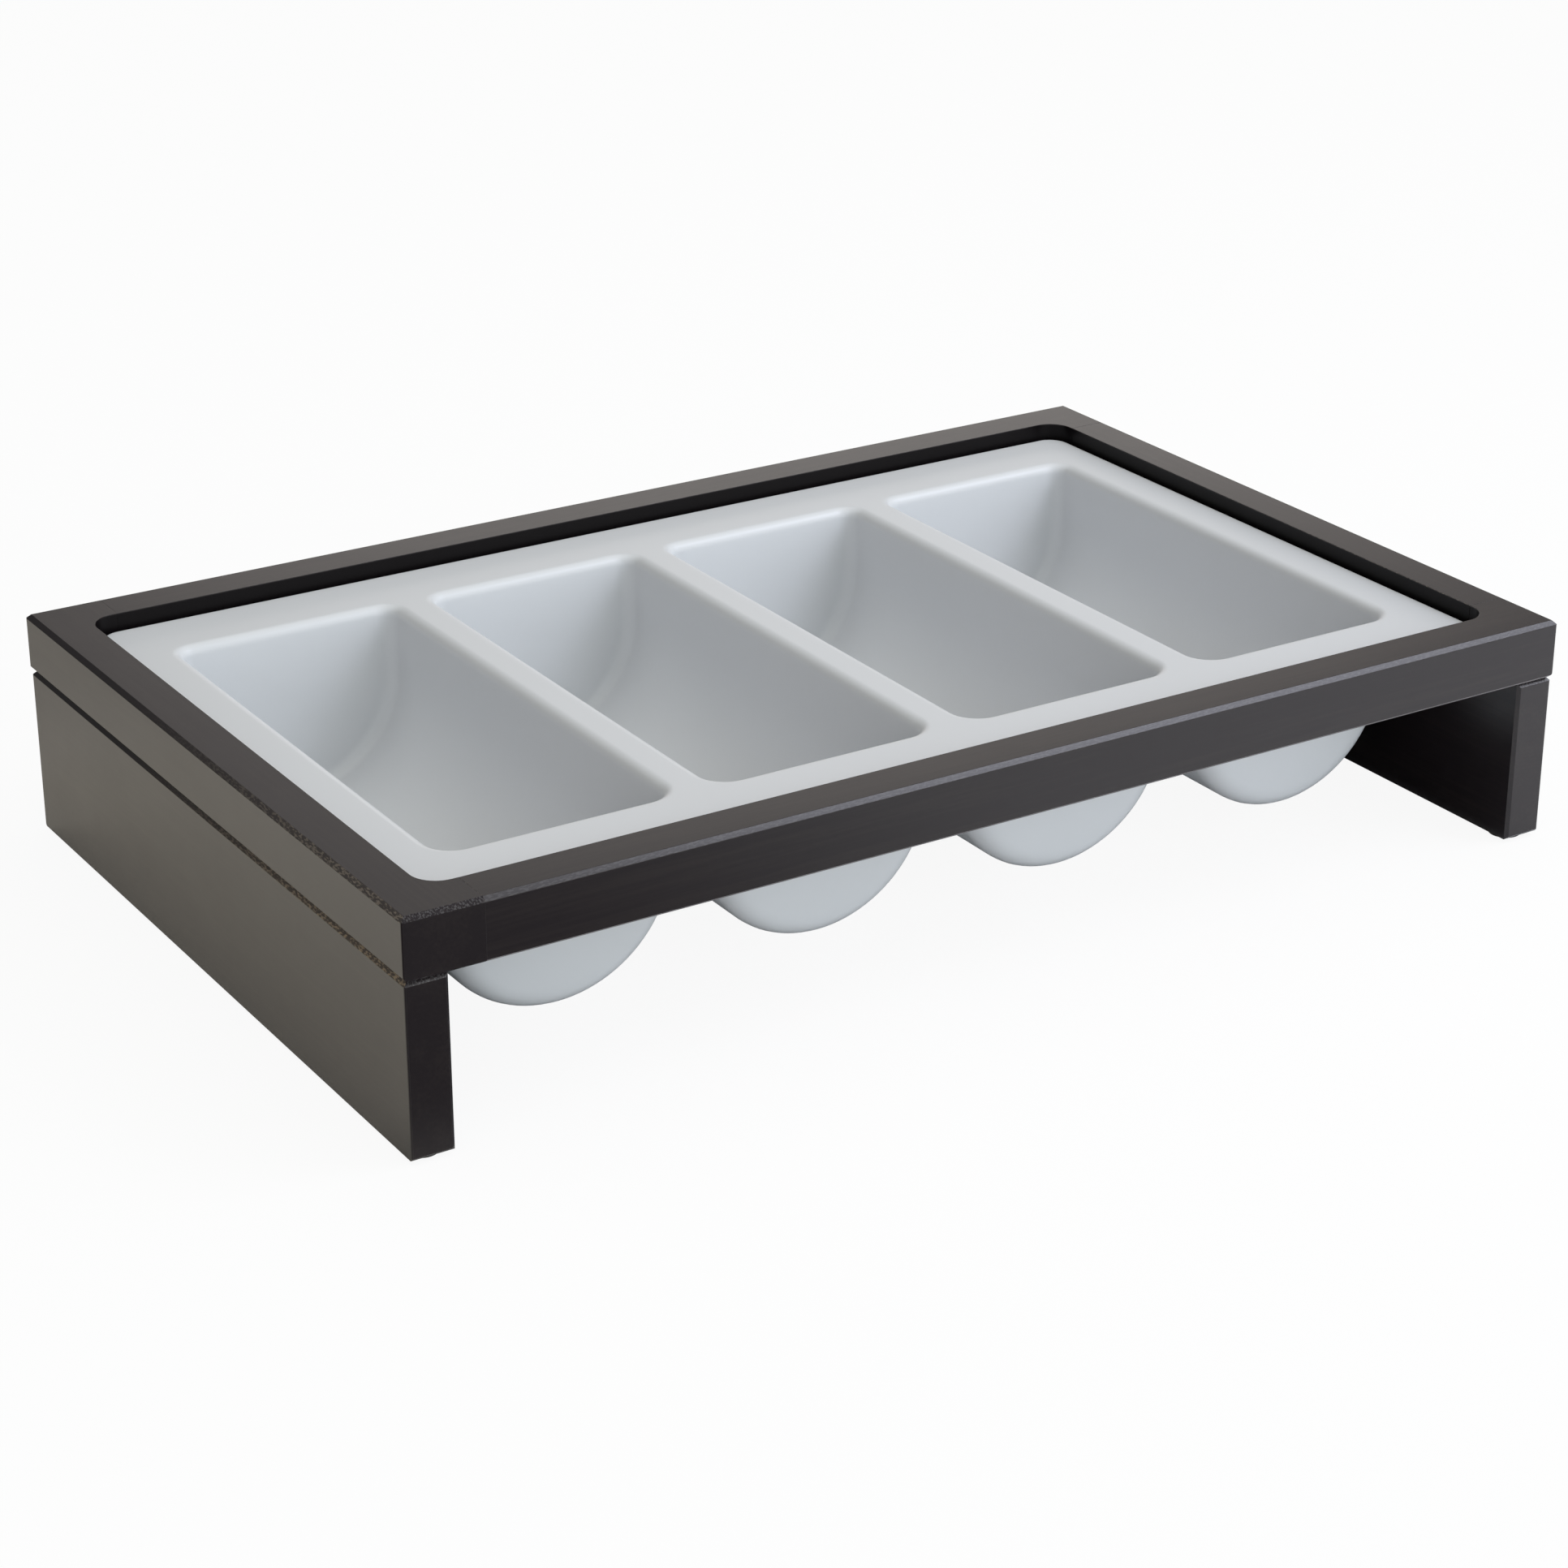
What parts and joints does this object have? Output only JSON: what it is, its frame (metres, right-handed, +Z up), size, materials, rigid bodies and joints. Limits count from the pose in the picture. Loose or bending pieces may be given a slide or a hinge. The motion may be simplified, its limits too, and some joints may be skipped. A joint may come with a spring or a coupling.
{
  "type": "cutlery organizer",
  "caption": "Free-standing cutlery organizer: a low dark wooden stand with side panels and a pale lift-out plastic insert of round-bottomed compartments side by side.",
  "frame": {"origin": "on the table, under the centre of the frame", "axes": "+X along the length, towards the right seen from the front; +Y towards the back; +Z up"},
  "size_m": [0.575, 0.372, 0.1055],
  "materials": {
    "stained_wood": "satin, near black stain",
    "insert_plastic": "smooth, soft gloss",
    "foot_rubber": "matte",
    "dowel_wood": "bare"
  },
  "bodies": {
    "stand": {"left_end_rail": "stained_wood", "right_end_rail": "stained_wood", "front_rail": "stained_wood", "back_rail": "stained_wood", "left_side_panel": "stained_wood", "right_side_panel": "stained_wood", "foot_front_left": "foot_rubber", "foot_front_right": "foot_rubber", "foot_back_left": "foot_rubber", "foot_back_right": "foot_rubber", "corner_dowels_front_left": "dowel_wood", "corner_dowels_front_right": "dowel_wood", "corner_dowels_back_left": "dowel_wood", "corner_dowels_back_right": "dowel_wood", "panel_dowels_left": "dowel_wood", "panel_dowels_right": "dowel_wood"},
    "insert": {"cutlery_insert": "insert_plastic"}
  },
  "joints": [
    {"name": "insert_lift", "type": "slide", "parent": "stand", "child": "insert", "axis": [0, 0, 1], "range_m": [0, 0.1]}
  ]
}
